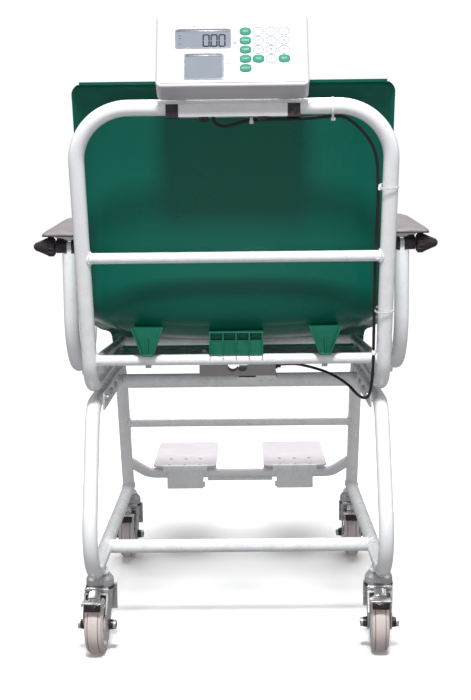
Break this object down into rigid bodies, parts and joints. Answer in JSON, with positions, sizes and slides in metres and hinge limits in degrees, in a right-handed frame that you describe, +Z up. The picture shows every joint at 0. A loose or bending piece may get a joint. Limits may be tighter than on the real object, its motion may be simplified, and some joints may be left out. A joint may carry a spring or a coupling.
{
  "type": "chair scale",
  "caption": "Wheeled weighing chair: moulded seat on a tube frame with flip-up arms, folding footplates, tilting indicator and braked swivel casters.",
  "frame": {"origin": "on the floor, under the centre of the whole object's box", "axes": "+X to the right seen from behind, +Y towards the footplates, +Z up"},
  "size_m": [0.692, 1.088, 1.0616],
  "materials": {
    "white_enamel": "gloss powder coat",
    "zinc_steel": "bright zinc plate",
    "grey_tyre": "satin thermoplastic rubber",
    "white_plastic": "satin",
    "green_shell": "polished moulding",
    "pad_grey": "fine leather grain, integral skin foam",
    "black_plastic": "satin",
    "case_grey": "fine spark texture",
    "overlay_white": "satin membrane",
    "display_glass": "clear window over a grey display",
    "cell_aluminium": "machined",
    "cable_black": "satin jacket"
  },
  "bodies": {
    "frame": {"base_side_left": "white_enamel", "base_side_right": "white_enamel", "base_crossbar_rear": "white_enamel", "base_crossbar_front": "white_enamel", "cell_crossbar": "white_enamel", "base_inner_bars": "white_enamel", "footrest_bar": "white_enamel", "tube_end_caps": "black_plastic", "caster_sockets": "white_enamel", "back_frame": "white_enamel", "seat_rail_left": "white_enamel", "seat_rail_right": "white_enamel", "back_crossbar": "white_enamel", "seat_crossbar_rear": "white_enamel", "seat_crossbar_front": "white_enamel", "seat_support_bars": "white_enamel", "arm_support_left": "white_enamel", "arm_support_right": "white_enamel", "seat_shell": "green_shell", "shell_bosses": "green_shell", "load_cell": "cell_aluminium", "cell_plate_lower": "white_enamel", "cell_plate_upper": "white_enamel", "cell_gland": "black_plastic", "display_bracket": "case_grey", "bracket_clamps": "black_plastic", "fasteners": "zinc_steel", "signal_cable": "cable_black", "cable_ties": "white_plastic"},
    "indicator": {"indicator_housing": "case_grey", "indicator_panel": "overlay_white", "display_windows": "display_glass"},
    "arm_left": {"armrest_pad_left": "pad_grey", "armrest_bracket_left": "white_enamel", "armrest_barrels_left": "black_plastic"},
    "knob_left": {"arm_knob_left": "black_plastic"},
    "foot_left": {"footplate_left": "white_enamel", "footplate_hinge_left": "zinc_steel"},
    "arm_right": {"armrest_pad_right": "pad_grey", "armrest_bracket_right": "white_enamel", "armrest_barrels_right": "black_plastic"},
    "knob_right": {"arm_knob_right": "black_plastic"},
    "foot_right": {"footplate_right": "white_enamel", "footplate_hinge_right": "zinc_steel"},
    "caster_rear_left": {"caster_fork_rear_left": "zinc_steel"},
    "wheel_rear_left": {"caster_hub_rear_left": "white_plastic", "caster_tyre_rear_left": "grey_tyre"},
    "pedal_rear_left": {"brake_pedal_rear_left": "zinc_steel"},
    "caster_rear_right": {"caster_fork_rear_right": "zinc_steel"},
    "wheel_rear_right": {"caster_hub_rear_right": "white_plastic", "caster_tyre_rear_right": "grey_tyre"},
    "pedal_rear_right": {"brake_pedal_rear_right": "zinc_steel"},
    "caster_front_left": {"caster_fork_front_left": "zinc_steel"},
    "wheel_front_left": {"caster_hub_front_left": "white_plastic", "caster_tyre_front_left": "grey_tyre"},
    "pedal_front_left": {"brake_pedal_front_left": "zinc_steel"},
    "caster_front_right": {"caster_fork_front_right": "zinc_steel"},
    "wheel_front_right": {"caster_hub_front_right": "white_plastic", "caster_tyre_front_right": "grey_tyre"},
    "pedal_front_right": {"brake_pedal_front_right": "zinc_steel"}
  },
  "joints": [
    {"name": "arm_flip_left", "type": "hinge", "parent": "frame", "child": "arm_left", "pos_m": [-0.285, -0.29, 0.704], "axis": [1, 0, 0], "range_deg": [0, 95]},
    {"name": "knob_turn_left", "type": "hinge", "parent": "arm_left", "child": "knob_left", "pos_m": [-0.325, -0.29, 0.704], "axis": [1, 0, 0], "continuous": true},
    {"name": "footplate_flip_left", "type": "hinge", "parent": "frame", "child": "foot_left", "pos_m": [-0.1215, 0.3, 0.17], "axis": [1, 0, 0], "range_deg": [0, 92]},
    {"name": "arm_flip_right", "type": "hinge", "parent": "frame", "child": "arm_right", "pos_m": [0.285, -0.29, 0.704], "axis": [1, 0, 0], "range_deg": [0, 95]},
    {"name": "knob_turn_right", "type": "hinge", "parent": "arm_right", "child": "knob_right", "pos_m": [0.325, -0.29, 0.704], "axis": [1, 0, 0], "continuous": true},
    {"name": "footplate_flip_right", "type": "hinge", "parent": "frame", "child": "foot_right", "pos_m": [0.1215, 0.3, 0.17], "axis": [1, 0, 0], "range_deg": [0, 92]},
    {"name": "indicator_tilt", "type": "hinge", "parent": "frame", "child": "indicator", "pos_m": [0, -0.484, 0.955], "axis": [1, 0, 0], "range_deg": [-30, 2]},
    {"name": "swivel_rear_left", "type": "hinge", "parent": "frame", "child": "caster_rear_left", "pos_m": [-0.245, -0.309, 0.12], "axis": [0, 0, 1], "continuous": true},
    {"name": "wheel_spin_rear_left", "type": "hinge", "parent": "caster_rear_left", "child": "wheel_rear_left", "pos_m": [-0.24737, -0.34292, 0.05], "axis": [0.9976, -0.0698, 0], "continuous": true},
    {"name": "brake_rear_left", "type": "hinge", "parent": "caster_rear_left", "child": "pedal_rear_left", "pos_m": [-0.2473, -0.34192, 0.111], "axis": [0.9976, -0.0698, 0], "range_deg": [-10, 4]},
    {"name": "swivel_rear_right", "type": "hinge", "parent": "frame", "child": "caster_rear_right", "pos_m": [0.245, -0.309, 0.12], "axis": [0, 0, 1], "continuous": true},
    {"name": "wheel_spin_rear_right", "type": "hinge", "parent": "caster_rear_right", "child": "wheel_rear_right", "pos_m": [0.24322, -0.34295, 0.05], "axis": [0.9986, -0.0523, 0], "continuous": true},
    {"name": "brake_rear_right", "type": "hinge", "parent": "caster_rear_right", "child": "pedal_rear_right", "pos_m": [0.24327, -0.34196, 0.111], "axis": [0.9986, -0.0523, 0], "range_deg": [-10, 4]},
    {"name": "swivel_front_left", "type": "hinge", "parent": "frame", "child": "caster_front_left", "pos_m": [-0.245, 0.266, 0.12], "axis": [0, 0, 1], "continuous": true},
    {"name": "wheel_spin_front_left", "type": "hinge", "parent": "caster_front_left", "child": "wheel_front_left", "pos_m": [-0.24619, 0.23202, 0.05], "axis": [0.9994, -0.0349, 0], "continuous": true},
    {"name": "brake_front_left", "type": "hinge", "parent": "caster_front_left", "child": "pedal_front_left", "pos_m": [-0.24615, 0.23302, 0.111], "axis": [0.9994, -0.0349, 0], "range_deg": [-10, 4]},
    {"name": "swivel_front_right", "type": "hinge", "parent": "frame", "child": "caster_front_right", "pos_m": [0.245, 0.266, 0.12], "axis": [0, 0, 1], "continuous": true},
    {"name": "wheel_spin_front_right", "type": "hinge", "parent": "caster_front_right", "child": "wheel_front_right", "pos_m": [0.24322, 0.23205, 0.05], "axis": [0.9986, -0.0523, 0], "continuous": true},
    {"name": "brake_front_right", "type": "hinge", "parent": "caster_front_right", "child": "pedal_front_right", "pos_m": [0.24327, 0.23305, 0.111], "axis": [0.9986, -0.0523, 0], "range_deg": [-10, 4]}
  ]
}
